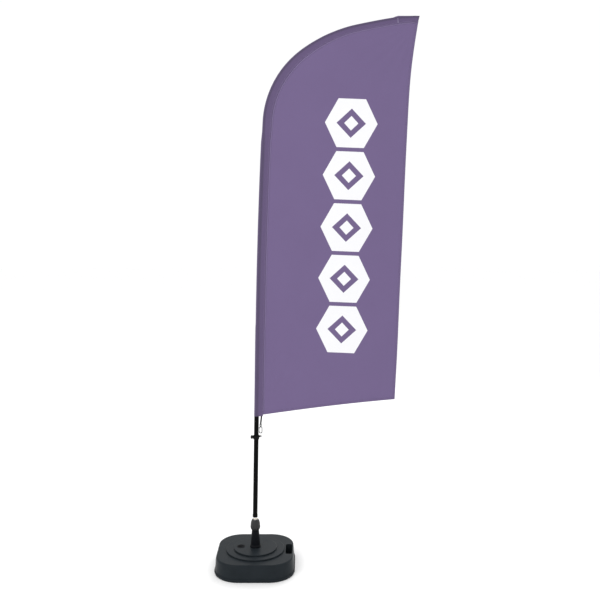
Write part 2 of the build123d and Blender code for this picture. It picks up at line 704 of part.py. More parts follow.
def strap_loop():
    """The sewn end of the strap, folded round the eye."""
    fold = Cylinder(EYE_WIRE_R + 1.4, STRAP_WIDTH) - Cylinder(EYE_WIRE_R + 0.15, STRAP_WIDTH + 2)
    fold = Pos(HOOK_X, 0, EYE_HIGH_Z) * Rot(0, 90, 0) * fold
    half = STRAP_WIDTH / 2
    tail = block(HOOK_X - half, HOOK_X + half, -STRAP_THICKNESS / 2, STRAP_THICKNESS / 2,
                 EYE_HIGH_Z + EYE_WIRE_R + 0.5, STRAP_LOW_Z - 0.1)
    return fold + tail


def tension_strap():
    """The short elastic strap from the sleeve's foot to the snap hook."""
    half = STRAP_WIDTH / 2
    return block(HOOK_X - half, HOOK_X + half, -STRAP_THICKNESS / 2, STRAP_THICKNESS / 2,
                 STRAP_LOW_Z, STRAP_TOP_Z)


# ------------------------------------------------------------ whole flag
def all_parts():
    """Every node by name."""
    return {
        **tank_pieces(),
        "riser_tube": riser_tube(),
        "stem_stop": stem_stop(),
        "filler_seal": filler_seal(),
        "filler_cap": filler_cap(),
        "collet": collet(),
        "clamp_nut": clamp_nut(),
        "stem": stem(),
        "lower_race": race(SHOULDER_TOP_Z),
        "retaining_clip": retaining_clip(),
        "bearing_cage": bearing_cage(),
        "bearing_balls": bearing_balls(),
        "upper_race": race(SHOULDER_TOP_Z + RACE_THICKNESS + RACE_GAP),
        "spigot": spigot(),
        "lower_bush": bush(LOWER_BUSH_Z),
        "upper_bush": bush(UPPER_BUSH_Z),
        "pole_foot": pole_foot(),
        "lower_tube": lower_tube(),
        "mid_tube": mid_tube(),
        "stop_ring": stop_ring(),
        "tip_socket": tip_socket(),
        "tip_rod": tip_rod(),
        "tip_cap": tip_cap(),
        "pole_sleeve": pole_sleeve(),
        "flag_panel": flag_panel(),
        "tension_collar": tension_collar(),
        "screw_pad": screw_pad(),
        "thumb_screw": thumb_screw(),
        "lug_ring": lug_ring(),
        "hook_body": hook_body(),
        "hook_gate": hook_gate(),
        "gate_pin": gate_pin(),
        "swivel_eye": swivel_eye(),
        "strap_loop": strap_loop(),
        "tension_strap": tension_strap(),
    }


def main():
    """Write each node to its own file."""
    os.makedirs("parts", exist_ok=True)
    for name, solid in all_parts().items():
        export_step(solid, f"parts/{name}.step")


main()
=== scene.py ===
import math

import bmesh
import bpy
import numpy as np
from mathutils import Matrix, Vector


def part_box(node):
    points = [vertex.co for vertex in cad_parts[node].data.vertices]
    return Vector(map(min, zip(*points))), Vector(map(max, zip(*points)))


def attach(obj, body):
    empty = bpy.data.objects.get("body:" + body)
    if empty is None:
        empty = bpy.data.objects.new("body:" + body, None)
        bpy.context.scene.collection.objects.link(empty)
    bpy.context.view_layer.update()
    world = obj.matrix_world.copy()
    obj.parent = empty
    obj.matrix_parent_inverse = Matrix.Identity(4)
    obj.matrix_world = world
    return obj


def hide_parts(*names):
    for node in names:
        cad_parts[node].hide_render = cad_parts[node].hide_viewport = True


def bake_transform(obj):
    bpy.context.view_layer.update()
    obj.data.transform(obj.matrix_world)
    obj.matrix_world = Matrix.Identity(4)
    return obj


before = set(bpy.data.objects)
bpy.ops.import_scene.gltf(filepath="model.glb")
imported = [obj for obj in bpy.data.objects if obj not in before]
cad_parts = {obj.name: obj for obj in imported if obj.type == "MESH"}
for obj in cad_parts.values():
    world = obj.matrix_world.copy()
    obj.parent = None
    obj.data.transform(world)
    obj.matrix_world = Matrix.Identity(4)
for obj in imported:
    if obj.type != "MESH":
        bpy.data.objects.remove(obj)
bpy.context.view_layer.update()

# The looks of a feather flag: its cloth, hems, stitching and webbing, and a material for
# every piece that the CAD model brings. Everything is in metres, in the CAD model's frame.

# ------------------------------------------------------------ the mast's line, as in the CAD model
MAST_FOOT = Vector((-0.001, 0, 0.2874))
MAST_LEAN = 1.1
MAST_RUNS = ((1.100, 0.0), (1.140, 1.9), (0.445, 50.7), (0.330, 24.0), (0.230, 4.1), (0.115, 8.2))
SLEEVE_START = 0.593
SLEEVE_END = 3.360

# ------------------------------------------------------------ cloth sizes
CLOTH_COLUMNS = 58
SLEEVE_COLUMNS = 40
SLEEVE_STEP = 0.014
SLEEVE_WIDTHS = ((0.0, 0.051), (2.560, 0.050), (2.980, 0.036), (3.360, 0.035))
SLEEVE_RADII = (
    (0.0, 0.0152), (0.650, 0.0140), (1.100, 0.0140), (1.130, 0.0126),
    (2.130, 0.0126), (2.190, 0.0090), (3.300, 0.0078), (3.360, 0.0078),
)
SLEEVE_HALF_SEAM = 0.0009
SLEEVE_SKIN = 0.0005
POCKET_START = 3.240
POCKET_TOP = 3.0945
POCKET_END_SLANT = 0.009
CLOTH_SKIN = 0.0004
TRAILING_EDGE = ((0.978, 0.796), (1.713, 0.823), (2.484, 0.848), (2.857, 0.872), (3.058, 0.900))
BOTTOM_BOW = 0.007
HEM_WIDTH = 0.012
HEM_LIFT = 0.0007
STITCH_PITCH = 0.0048
STITCH_LENGTH = 0.0034
STITCH_R = 0.0005
STRAP_LEAN = 0.007
STRAP_TUCK = 0.020
STRAP_ROWS = 60
TAPE_WIDTH = 0.007

# ------------------------------------------------------------ camera and light
CAMERA_PLACE = (0.258, -4.10, 1.91)
CAMERA_TILT = 84.9
CAMERA_LENS = 43.92
WORLD_STRENGTH = 1.02
FLOOR_WHITE = 0.985


# ------------------------------------------------------------ small maths
def between(pairs, place):
    """Straight-line value at a place in a list of (place, value) pairs."""
    return float(np.interp(place, [pair[0] for pair in pairs], [pair[1] for pair in pairs]))


def smooth(low, high, value):
    """0 below low, 1 above high and a smooth step between them."""
    share = np.clip((value - low) / (high - low), 0.0, 1.0)
    return share * share * (3 - 2 * share)


def spline(pairs):
    """A natural cubic curve through (place, value) pairs, as a function."""
    x = np.array([pair[0] for pair in pairs])
    y = np.array([pair[1] for pair in pairs])
    count = len(x)
    h = np.diff(x)
    matrix = np.eye(count)
    right = np.zeros(count)
    for i in range(1, count - 1):
        matrix[i, i - 1:i + 2] = h[i - 1], 2 * (h[i - 1] + h[i]), h[i]
        right[i] = 6 * ((y[i + 1] - y[i]) / h[i] - (y[i] - y[i - 1]) / h[i - 1])
    bend = np.linalg.solve(matrix, right)

    def value(place):
        i = int(np.clip(np.searchsorted(x, place) - 1, 0, count - 2))
        a = (x[i + 1] - place) / h[i]
        b = (place - x[i]) / h[i]
        curve = ((a ** 3 - a) * bend[i] + (b ** 3 - b) * bend[i + 1]) * h[i] ** 2 / 6
        return float(a * y[i] + b * y[i + 1] + curve)

    return value


trailing_x = spline(TRAILING_EDGE)


# ------------------------------------------------------------ the mast and the seam
def mast_at(distance):
    """The mast's centre, its direction and the direction across it towards the flag."""
    point = MAST_FOOT.copy()
    lean = math.radians(MAST_LEAN)
    for length, turn in MAST_RUNS:
        step = min(distance, length)
        if turn == 0:
            point += step * Vector((math.sin(lean), 0, math.cos(lean)))
        else:
            radius = length / math.radians(turn)
            new = lean + step / radius
            point += radius * Vector((math.cos(lean) - math.cos(new), 0, math.sin(new) - math.sin(lean)))
            lean = new
        distance -= step
        if distance <= 0:
            break
    along = Vector((math.sin(lean), 0, math.cos(lean)))
    across = Vector((math.cos(lean), 0, -math.sin(lean)))
    return point, along, across


def seam_offset(distance):
    """How far the seam lies from the mast's centre."""
    return between(SLEEVE_WIDTHS, distance) - between(SLEEVE_RADII, distance)


def seam_at(distance, inset=0.0):
    """A point on the seam, or inset towards the mast."""
    point, _, across = mast_at(distance)
    return point + across * (seam_offset(distance) - inset)


# ------------------------------------------------------------ mesh helpers
def new_piece(name, verts, faces, body, materials, smooth_faces=True):
    """A mesh piece that rides on a body, unless the body is None."""
    mesh = bpy.data.meshes.new(name)
    mesh.from_pydata([tuple(v) for v in verts], [], faces)
    mesh.update()
    for polygon in mesh.polygons:
        polygon.use_smooth = smooth_faces
    piece = bpy.data.objects.new(name, mesh)
    bpy.context.scene.collection.objects.link(piece)
    for material in materials:
        mesh.materials.append(material)
    if body is not None:
        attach(piece, body)
    return piece


def tidy_normals(piece):
    """Make a closed piece's faces point outwards."""
    work = bmesh.new()
    work.from_mesh(piece.data)
    bmesh.ops.recalc_face_normals(work, faces=work.faces)
    work.to_mesh(piece.data)
    work.free()


def grid_faces(rows, columns, closed=False):
    """Quads between rows of points, closed round each row if asked."""
    faces = []
    last = columns if closed else columns - 1
    for row in range(rows - 1):
        for column in range(last):
            a = row * columns + column
            b = row * columns + (column + 1) % columns
            faces.append((a, b, b + columns, a + columns))
    return faces


def thicken(piece, thickness, offset=0.0):
    """Give a sheet its real thickness."""
    modifier = piece.modifiers.new("thickness", "SOLIDIFY")
    modifier.thickness = thickness
    modifier.offset = offset


def swept_strip(paths, name, body, materials):
    """A closed solid strip from parallel lines of points that go round its section."""
    rows = len(paths[0])
    columns = len(paths)
    verts = [paths[column][row] for row in range(rows) for column in range(columns)]
    faces = grid_faces(rows, columns, closed=True)
    faces.append(tuple(range(columns - 1, -1, -1)))
    faces.append(tuple(range((rows - 1) * columns, rows * columns)))
    piece = new_piece(name, verts, faces, body, materials)
    tidy_normals(piece)
    return piece


def resample(points, pitch):
    """Points at an even pitch along a line of points, each with its direction."""
    lengths = [0.0]
    for first, second in zip(points, points[1:]):
        lengths.append(lengths[-1] + (second - first).length)
    count = max(1, int(lengths[-1] / pitch))
    out = []
    index = 0
    for step in range(count):
        place = (step + 0.5) * lengths[-1] / count
        while lengths[index + 1] < place:
            index += 1
        first, second = points[index], points[index + 1]
        share = (place - lengths[index]) / (lengths[index + 1] - lengths[index])
        out.append((first.lerp(second, share), (second - first).normalized()))
    return out


def stitches(lines, name, body, material, pitch=STITCH_PITCH, length=STITCH_LENGTH, radius=STITCH_R):
    """Rows of sewn thread, each stitch a small spindle, along (points, facing) lines."""
    verts = []
    faces = []
    for points, facing in lines:
        for centre, along in resample(points, pitch):
            out = Vector(facing)
            side = along.cross(out).normalized()
            base = len(verts)
            verts.append(centre - along * length / 2 - out * radius * 0.6)
            for share in (-0.28, 0.28):
                middle = centre + along * length * share + out * radius * 0.5
                for turn in range(5):
                    angle = math.tau * turn / 5
                    verts.append(middle + side * radius * math.cos(angle) + out * radius * math.sin(angle))
            verts.append(centre + along * length / 2 - out * radius * 0.6)
            for turn in range(5):
                after = (turn + 1) % 5
                faces.append((base, base + 1 + after, base + 1 + turn))
                faces.append((base + 1 + turn, base + 1 + after, base + 6 + after, base + 6 + turn))
                faces.append((base + 11, base + 6 + turn, base + 6 + after))
    return new_piece(name, verts, faces, body, [material])


# ------------------------------------------------------------ material helpers
def new_material(name):
    """An empty node material, its tree, and its principled shader."""
    material = bpy.data.materials.new(name)
    material.use_nodes = True
    tree = material.node_tree
    shader = tree.nodes["Principled BSDF"]
    return material, tree, shader


def node(tree, kind, **values):
    """A node with its settings and input values."""
    made = tree.nodes.new(kind)
    for key, value in values.items():
        if hasattr(made, key):
            setattr(made, key, value)
        else:
            made.inputs[key.replace("_", " ")].default_value = value
    return made


def coordinates(tree, scale=(1, 1, 1)):
    """The piece's own coordinates, scaled."""
    where = node(tree, "ShaderNodeTexCoord")
    mapping = node(tree, "ShaderNodeMapping")
    mapping.inputs["Scale"].default_value = scale
    tree.links.new(where.outputs["Object"], mapping.inputs["Vector"])
    return mapping.outputs["Vector"]


def noise(tree, vector, scale, detail=3.0, roughness=0.5):
    """A noise value."""
    made = node(tree, "ShaderNodeTexNoise", Scale=scale, Detail=detail, Roughness=roughness)
    tree.links.new(vector, made.inputs["Vector"])
    return made.outputs["Fac"]


def ramp(tree, value, stops):
    """A colour ramp over a value."""
    made = node(tree, "ShaderNodeValToRGB")
    elements = made.color_ramp.elements
    elements[0].position, elements[0].color = stops[0][0], (*stops[0][1], 1)
    elements[1].position, elements[1].color = stops[-1][0], (*stops[-1][1], 1)
    for place, colour in stops[1:-1]:
        element = elements.new(place)
        element.color = (*colour, 1)
    tree.links.new(value, made.inputs["Fac"])
    return made.outputs["Color"]


def span(tree, value, low, high, out_low, out_high):
    """A value mapped from one range to another."""
    made = node(tree, "ShaderNodeMapRange")
    made.inputs["From Min"].default_value = low
    made.inputs["From Max"].default_value = high
    made.inputs["To Min"].default_value = out_low
    made.inputs["To Max"].default_value = out_high
    tree.links.new(value, made.inputs["Value"])
    return made.outputs["Result"]


def maths(tree, operation, first, second):
    """One arithmetic node; each input is a socket or a number."""
    made = node(tree, "ShaderNodeMath", operation=operation)
    for index, value in enumerate((first, second)):
        if isinstance(value, (int, float)):
            made.inputs[index].default_value = value
        else:
            tree.links.new(value, made.inputs[index])
    return made.outputs["Value"]


def blend_colour(tree, factor, first, second, mode="MIX"):
    """Two colours mixed; each is a socket or a colour, and the factor a socket or a number."""
    made = node(tree, "ShaderNodeMix", data_type="RGBA", blend_type=mode)
    for socket, value in ((made.inputs[0], factor), (made.inputs[6], first), (made.inputs[7], second)):
        if isinstance(value, bpy.types.NodeSocket):
            tree.links.new(value, socket)
        elif isinstance(value, (int, float)):
            socket.default_value = value
        else:
            socket.default_value = (*value, 1)
    return made.outputs[2]


def bump(tree, shader, height, strength, distance):
    """A bump from a height value."""
    made = node(tree, "ShaderNodeBump", Strength=strength, Distance=distance)
    tree.links.new(height, made.inputs["Height"])
    tree.links.new(made.outputs["Normal"], shader.inputs["Normal"])


def bands(tree, vector, direction, wavelength):
    """Fine parallel ridges with a wavelength in metres."""
    made = node(tree, "ShaderNodeTexWave", wave_type="BANDS", bands_direction=direction)
    made.inputs["Scale"].default_value = math.tau / (20 * wavelength)
    made.inputs["Distortion"].default_value = 0.6
    made.inputs["Detail"].default_value = 1.0
    tree.links.new(vector, made.inputs["Vector"])
    return made.outputs["Fac"]


# ------------------------------------------------------------ materials
def moulded_plastic(name, colour, roughness, grain=900.0, depth=0.0002, mottle=0.12, gloss=0.16):
    """Moulded plastic: a fine grained skin, uneven sheen and faint colour mottling."""
    material, tree, shader = new_material(name)
    vector = coordinates(tree)
    broad = noise(tree, vector, 14.0, 4.0, 0.6)
    fine = noise(tree, vector, grain, 2.0, 0.6)
    dark = tuple(channel * (1 - mottle) for channel in colour)
    light = tuple(channel * (1 + mottle) for channel in colour)
    tree.links.new(ramp(tree, broad, ((0.3, dark), (0.7, light))), shader.inputs["Base Color"])
    uneven = span(tree, broad, 0.3, 0.7, roughness - 0.06, roughness + 0.06)
    speckled = maths(tree, "ADD", uneven, span(tree, fine, 0.3, 0.7, -0.03, 0.03))
    tree.links.new(speckled, shader.inputs["Roughness"])
    bump(tree, shader, fine, 0.35, depth)
    shader.inputs["Specular IOR Level"].default_value = gloss
    return material


def bare_metal(name, colour, roughness, stretch=(1, 1, 40), grain=120.0):
    """Turned or drawn metal with fine tool marks along one direction."""
    material, tree, shader = new_material(name)
    vector = coordinates(tree, stretch)
    marks = noise(tree, vector, grain, 4.0, 0.65)
    dark = tuple(channel * 0.85 for channel in colour)
    tree.links.new(ramp(tree, marks, ((0.3, dark), (0.7, colour))), shader.inputs["Base Color"])
    tree.links.new(span(tree, marks, 0.3, 0.7, roughness * 0.7, roughness * 1.4), shader.inputs["Roughness"])
    bump(tree, shader, marks, 0.25, 0.00005)
    shader.inputs["Metallic"].default_value = 1.0
    return material


def coated_tube(name, colour, roughness, gloss=0.06):
    """Black coated tube: fine lengthwise drawing marks and a few dull scuffs."""
    material, tree, shader = new_material(name)
    drawn = noise(tree, coordinates(tree, (1, 1, 0.02)), 1400.0, 2.0, 0.5)
    scuff = noise(tree, coordinates(tree, (1, 1, 0.4)), 35.0, 5.0, 0.7)
    worn = tuple(channel * 2.6 + 0.006 for channel in colour)
    tree.links.new(ramp(tree, scuff, ((0.62, colour), (0.8, worn))), shader.inputs["Base Color"])
    rough = maths(tree, "ADD", span(tree, scuff, 0.4, 0.8, roughness, roughness + 0.2),
                  span(tree, drawn, 0.3, 0.7, -0.04, 0.04))
    tree.links.new(rough, shader.inputs["Roughness"])
    bump(tree, shader, drawn, 0.2, 0.00005)
    shader.inputs["Specular IOR Level"].default_value = gloss
    return material


def knitted_cloth(name, colour, shade=0.012, weave=0.0009, strength=0.35):
    """Flag cloth: a fine knit of crossing ribs with painted shade in its hollows, dye mottling and a soft
    sheen.
    """
    material, tree, shader = new_material(name)
    vector = coordinates(tree)
    ribs = bands(tree, vector, "X", weave)
    rows = bands(tree, vector, "Z", weave * 0.8)
    knit = maths(tree, "MULTIPLY", ribs, rows)
    broad = noise(tree, vector, 5.0, 3.0, 0.5)
    dark = tuple(channel * (1 - shade) for channel in colour)
    light = tuple(min(1.0, channel * (1 + shade)) for channel in colour)
    dyed = ramp(tree, broad, ((0.35, dark), (0.65, light)))
    # Painted shade: the colour is mixed up to a tenth towards black in the knit's hollows.
    knit_with_painted_shade = blend_colour(tree, span(tree, knit, 0.0, 1.0, 0.10, 0.0), dyed, (0.0, 0.0, 0.0))
    tree.links.new(knit_with_painted_shade, shader.inputs["Base Color"])
    tree.links.new(span(tree, knit, 0.0, 1.0, 0.85, 0.7), shader.inputs["Roughness"])
    bump(tree, shader, knit, strength, 0.0002)
    shader.inputs["Sheen Weight"].default_value = 0.15
    shader.inputs["Sheen Roughness"].default_value = 0.5
    shader.inputs["Specular IOR Level"].default_value = 0.25
    return material


def sleeve_cloth(name, colour, pole_shade_colour):
    """Two layers of flag cloth, with painted shade in streaks where the pole inside would show through."""
    material = knitted_cloth(name, colour)
    tree = material.node_tree
    shader = tree.nodes["Principled BSDF"]
    dyed = shader.inputs["Base Color"].links[0].from_socket
    # Painted shade: over the pole the colour is mixed towards a dark pole colour, broken into lengthwise
    # streaks.
    painted_pole_shade = node(tree, "ShaderNodeAttribute", attribute_name="painted_pole_shade").outputs["Fac"]
    streaks = noise(tree, coordinates(tree, (60, 60, 2.5)), 3.0, 4.0, 0.6)
    shade_weight = maths(tree, "MULTIPLY", painted_pole_shade, span(tree, streaks, 0.3, 0.7, 0.75, 1.0))
    tree.links.new(blend_colour(tree, shade_weight, dyed, pole_shade_colour), shader.inputs["Base Color"])
    return material


def webbing(name, colour):
    """Narrow woven webbing: crosswise ribs and twill lines."""
    material, tree, shader = new_material(name)
    vector = coordinates(tree)
    ribs = bands(tree, vector, "Z", 0.0011)
    twill = bands(tree, vector, "DIAGONAL", 0.0008)
    weave = maths(tree, "ADD", ribs, twill)
    light = tuple(channel * 2.2 for channel in colour)
    tree.links.new(ramp(tree, weave, ((0.3, colour), (1.0, light))), shader.inputs["Base Color"])
    tree.links.new(span(tree, weave, 0.0, 2.0, 0.9, 0.65), shader.inputs["Roughness"])
    bump(tree, shader, weave, 0.6, 0.0002)
    shader.inputs["Specular IOR Level"].default_value = 0.1
    return material


def thread(name, colour):
    """Sewing thread with a twisted surface."""
    material, tree, shader = new_material(name)
    twist = bands(tree, coordinates(tree), "DIAGONAL", 0.0004)
    dark = tuple(channel * 0.75 for channel in colour)
    tree.links.new(ramp(tree, twist, ((0.2, dark), (0.8, colour))), shader.inputs["Base Color"])
    tree.links.new(span(tree, twist, 0.0, 1.0, 0.65, 0.5), shader.inputs["Roughness"])
    bump(tree, shader, twist, 0.3, 0.0001)
    return material


def soft_rubber(name, colour):
    """Dull rubber with a dusty bloom."""
    material, tree, shader = new_material(name)
    vector = coordinates(tree)
    bloom = noise(tree, vector, 60.0, 5.0, 0.7)
    dusty = tuple(channel + 0.02 for channel in colour)
    tree.links.new(ramp(tree, bloom, ((0.4, colour), (0.8, dusty))), shader.inputs["Base Color"])
    tree.links.new(span(tree, bloom, 0.3, 0.7, 0.75, 0.92), shader.inputs["Roughness"])
    bump(tree, shader, noise(tree, vector, 1500.0, 1.0), 0.3, 0.0001)
    return material


PURPLE = (0.153, 0.110, 0.232)
WHITE = (0.86, 0.86, 0.88)
MATERIALS = {
    "cloth": knitted_cloth("cloth_purple", PURPLE),
    "print": knitted_cloth("cloth_white_print", WHITE, shade=0.006),
    # Sleeve: its purple is darker than the cloth's, painted shade for the less light that passes through its
    # two layers; its second colour is the painted pole shade.
    "sleeve": sleeve_cloth("sleeve_purple", (0.118, 0.084, 0.178), (0.070, 0.053, 0.104)),
    # Hem: a little darker than the cloth, painted shade for the doubled fold that lets less light through.
    "hem": knitted_cloth("hem_purple", (0.147, 0.106, 0.221)),
    "tape": knitted_cloth("seam_tape", (0.175, 0.131, 0.258)),
    "thread": thread("thread_purple", (0.26, 0.20, 0.36)),
    "light_thread": thread("thread_light", (0.42, 0.36, 0.55)),
    "webbing": webbing("webbing_black", (0.008, 0.008, 0.009)),
    "black_thread": thread("thread_black", (0.03, 0.03, 0.032)),
}

TANK_PLASTIC = moulded_plastic(
    "tank_plastic", (0.0145, 0.0185, 0.0220), 0.40, grain=420.0, depth=0.0003, gloss=0.06
)
CAD_MATERIALS = {
    "tank_floor": TANK_PLASTIC,
    "tank_wall": TANK_PLASTIC,
    "tank_deck": TANK_PLASTIC,
    "riser_tube": moulded_plastic("riser_plastic", (0.0035, 0.0042, 0.0060), 0.34, gloss=0.07),
    "stem_stop": moulded_plastic("stop_plastic", (0.010, 0.010, 0.010), 0.50),
    "filler_seal": soft_rubber("seal_rubber", (0.015, 0.015, 0.015)),
    "filler_cap": moulded_plastic("cap_plastic", (0.003, 0.0035, 0.005), 0.38, gloss=0.07),
    "collet": moulded_plastic("collet_acetal", (0.62, 0.62, 0.58), 0.35, mottle=0.03),
    "clamp_nut": moulded_plastic("nut_plastic", (0.022, 0.022, 0.023), 0.36, grain=700.0, gloss=0.26),
    "stem": bare_metal("stem_steel", (0.62, 0.62, 0.61), 0.28),
    "lower_race": bare_metal("race_steel", (0.85, 0.85, 0.85), 0.15),
    "retaining_clip": bare_metal("clip_steel", (0.22, 0.22, 0.23), 0.35),
    "bearing_cage": bare_metal("cage_brass", (0.78, 0.58, 0.26), 0.30),
    "bearing_balls": bare_metal("ball_steel", (0.90, 0.90, 0.90), 0.08),
    "upper_race": bare_metal("upper_race_steel", (0.85, 0.85, 0.85), 0.15),
    "spigot": bare_metal("spigot_aluminium", (0.86, 0.86, 0.87), 0.25),
    "lower_bush": moulded_plastic("bush_acetal", (0.80, 0.80, 0.76), 0.40, mottle=0.03),
    "upper_bush": moulded_plastic("upper_bush_acetal", (0.80, 0.80, 0.76), 0.40, mottle=0.03),
    "pole_foot": moulded_plastic("foot_plastic", (0.002, 0.002, 0.002), 0.35, gloss=0.06),
    "lower_tube": coated_tube("tube_black", (0.0012, 0.0012, 0.0014), 0.30),
    "mid_tube": coated_tube("mid_tube_black", (0.005, 0.005, 0.006), 0.35),
    "stop_ring": moulded_plastic("ring_plastic", (0.010, 0.010, 0.010), 0.45),
    "tip_socket": moulded_plastic("socket_plastic", (0.012, 0.012, 0.012), 0.45),
    "tip_rod": coated_tube("fibreglass", (0.012, 0.012, 0.013), 0.30),
    "tip_cap": soft_rubber("tip_rubber", (0.012, 0.012, 0.012)),
    "tension_collar": moulded_plastic("collar_nylon", (0.003, 0.003, 0.0035), 0.40, gloss=0.08),
    "screw_pad": moulded_plastic("pad_nylon", (0.78, 0.78, 0.74), 0.45, mottle=0.03),
    "thumb_screw": moulded_plastic("knob_plastic", (0.010, 0.010, 0.011), 0.34, gloss=0.2),
    "lug_ring": bare_metal("ring_chrome", (0.88, 0.88, 0.88), 0.12),
    "hook_body": moulded_plastic("hook_coating", (0.003, 0.003, 0.0035), 0.30, gloss=0.10),
    "hook_gate": bare_metal("gate_steel", (0.45, 0.45, 0.46), 0.30),
    "gate_pin": bare_metal("pin_steel", (0.60, 0.60, 0.60), 0.25),
    "swivel_eye": moulded_plastic("eye_coating", (0.003, 0.003, 0.0035), 0.30, gloss=0.10),
    "strap_loop": webbing("loop_webbing", (0.008, 0.008, 0.009)),
}


def dress_cad_nodes():
    """Give each CAD node that stays its material."""
    for name, material in CAD_MATERIALS.items():
        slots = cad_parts[name].material_slots
        for place in slots:
            place.material = material


# ------------------------------------------------------------ flag panel
def seam_distances(step=0.012):
    """Distances along the mast for the rows of the cloth."""
    start = SLEEVE_START + 0.008
    count = int((SLEEVE_END - start) / step)
    return [start + (SLEEVE_END - start) * index / count for index in range(count + 1)]


SEAM_LINE = np.array([seam_at(distance)[:] for distance in seam_distances()])
SEAM_FOOT = seam_at(seam_distances()[0])
SEAM_TIP = seam_at(seam_distances()[-1])


def row_point(distance, share):
    """A flat point of the cloth: share 0 lies on the seam and 1 on the free edge."""
    start = seam_at(distance, inset=0.002)
    rise = (start.z - SEAM_FOOT.z) / (SEAM_TIP.z - SEAM_FOOT.z)
    low, high = TRAILING_EDGE[0][0], TRAILING_EDGE[-1][0]
    end_z = low + (high - low) * rise
    end = Vector((trailing_x(end_z), 0, end_z))
    point = start.lerp(end, share)
    fade = math.exp(-(distance - SLEEVE_START) / 0.35)
    point.z += BOTTOM_BOW * math.sin(math.pi * share) * fade
    return point


def ripple(points):
    """How far the cloth stands out of its plane at flat points, in metres."""
    points = np.asarray(points, float).reshape(-1, 3)
    x, z = points[:, 0], points[:, 2]
    away = np.full(len(points), 9.0)
    for seam in SEAM_LINE[::3]:
        away = np.minimum(away, np.hypot(x - seam[0], z - seam[2]))
    free = smooth(0.0, 0.45, away)
    billow = 0.0045 * np.sin(5.2 * z - 2.1 * x + 0.6) + 0.0030 * np.sin(9.5 * z + 4.0 * x + 1.9)
    foot = np.hypot(x - 0.05, z - 0.89)
    foot_angle = np.arctan2(z - 0.89, x - 0.05)
    pulled = 0.0016 * np.sin(30 * foot_angle) * np.exp(-foot / 0.35) * smooth(0.02, 0.15, foot)
    tip = np.hypot(x - 0.90, z - 3.06)
    tip_angle = np.arctan2(3.06 - z, 0.90 - x)
    gathered = 0.0014 * np.sin(26 * tip_angle) * np.exp(-tip / 0.40) * smooth(0.02, 0.18, tip)
    return billow * free + (pulled + gathered) * smooth(0.0, 0.04, away)


def on_cloth(points, lift=0.0):
    """Flat points moved onto the rippled cloth, and lifted off it along Y."""
    heights = ripple([point[:] for point in points])
    return [Vector((p.x, h + lift, p.z)) for p, h in zip(points, heights)]


PRINT_FOOT = Vector((0.488, 0, 1.234))
PRINT_TOP = Vector((0.546, 0, 2.664))
PRINT_COUNT = 5
PRINT_HALF_WIDTH = 0.145
PRINT_GAP = 0.022
# Shapes in shares of the half width and half length: a hexagon, a hole in it and a core in the hole.
HEXAGON = ((-1.0, 0.0), (-0.52, 1.0), (0.52, 1.0), (1.0, 0.0), (0.52, -1.0), (-0.52, -1.0))
HOLE = ((-0.56, 0.0), (0.0, 0.60), (0.56, 0.0), (0.0, -0.60))
CORE = ((-0.27, 0.0), (0.0, 0.30), (0.27, 0.0), (0.0, -0.30))


def print_motifs():
    """Centre of each printed motif, with the band's directions across and along it."""
    along = (PRINT_TOP - PRINT_FOOT).normalized()
    across = Vector((along.z, 0, -along.x))
    pitch = (PRINT_TOP - PRINT_FOOT).length / PRINT_COUNT
    half_length = (pitch - PRINT_GAP) / 2
    for index in range(PRINT_COUNT):
        centre = PRINT_FOOT + along * pitch * (index + 0.5)
        yield centre, across * PRINT_HALF_WIDTH, along * half_length


def corners(shape, centre, across, along):
    """A shape's corners on the flat cloth."""
    return [centre + across * share_x + along * share_z for share_x, share_z in shape]


def inside(point, polygon):
    """True where a point lies inside a convex polygon in the cloth's plane."""
    turns = []
    for first, second in zip(polygon, polygon[1:] + polygon[:1]):
        edge, reach = second - first, point - first
        turns.append(edge.x * reach.z - edge.z * reach.x)
    return all(turn >= 0 for turn in turns) or all(turn <= 0 for turn in turns)


def cut_print(work):
    """Cut the cloth's mesh along the edges of the printed motifs."""
    for centre, across, along in print_motifs():
        for shape in (HEXAGON, HOLE, CORE):
            polygon = corners(shape, centre, across, along)
            reach = max((corner - centre).length for corner in polygon) + 0.02
            for first, second in zip(polygon, polygon[1:] + polygon[:1]):
                edge = second - first
                normal = Vector((edge.z, 0, -edge.x)).normalized()
                near = [f for f in work.faces if (f.calc_center_median() - centre).length < reach]
                geometry = set(near)
                for face in near:
                    geometry.update(face.edges)
                    geometry.update(face.verts)
                bmesh.ops.bisect_plane(work, geom=list(geometry), dist=1e-6, plane_co=first, plane_no=normal)


def is_printed(point):
    """True where the cloth is printed white."""
    for centre, across, along in print_motifs():
        if inside(point, corners(HEXAGON, centre, across, along)):
            in_hole = inside(point, corners(HOLE, centre, across, along))
            return not in_hole or inside(point, corners(CORE, centre, across, along))
    return False


def make_flag_cloth():
    """The single-layer cloth with its printed band of motifs."""
    distances = seam_distances()
    last = CLOTH_COLUMNS - 1
    verts = [row_point(d, c / last) for d in distances for c in range(CLOTH_COLUMNS)]
    faces = grid_faces(len(distances), CLOTH_COLUMNS)
    materials = [MATERIALS["cloth"], MATERIALS["print"]]
    piece = new_piece("flag_cloth", verts, faces, "mast", materials)
    work = bmesh.new()
    work.from_mesh(piece.data)
    bmesh.ops.remove_doubles(work, verts=work.verts, dist=0.00005)
    cut_print(work)
    for face in work.faces:
        face.material_index = 1 if is_printed(face.calc_center_median()) else 0
        face.smooth = True
    heights = ripple([v.co[:] for v in work.verts])
    for vert, height in zip(work.verts, heights):
        vert.co.y = height
    area = sum(face.calc_area() for face in work.faces)
    work.to_mesh(piece.data)
    work.free()
    thicken(piece, CLOTH_SKIN)
    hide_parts("flag_panel")
    return piece, area


# ------------------------------------------------------------ hems and seam tape
def trailing_line(inset, step=0.02):
    """Flat points along the free edge, from foot to tip, a little way in from it."""
    distances = seam_distances(step)
    points = []
    for distance in distances:
        edge = row_point(distance, 1.0)
        inner = row_point(distance, 0.0)
        width = (edge - inner).length
        if width < inset * 1.5:
            break
        points.append(edge.lerp(inner, inset / width))
    return points


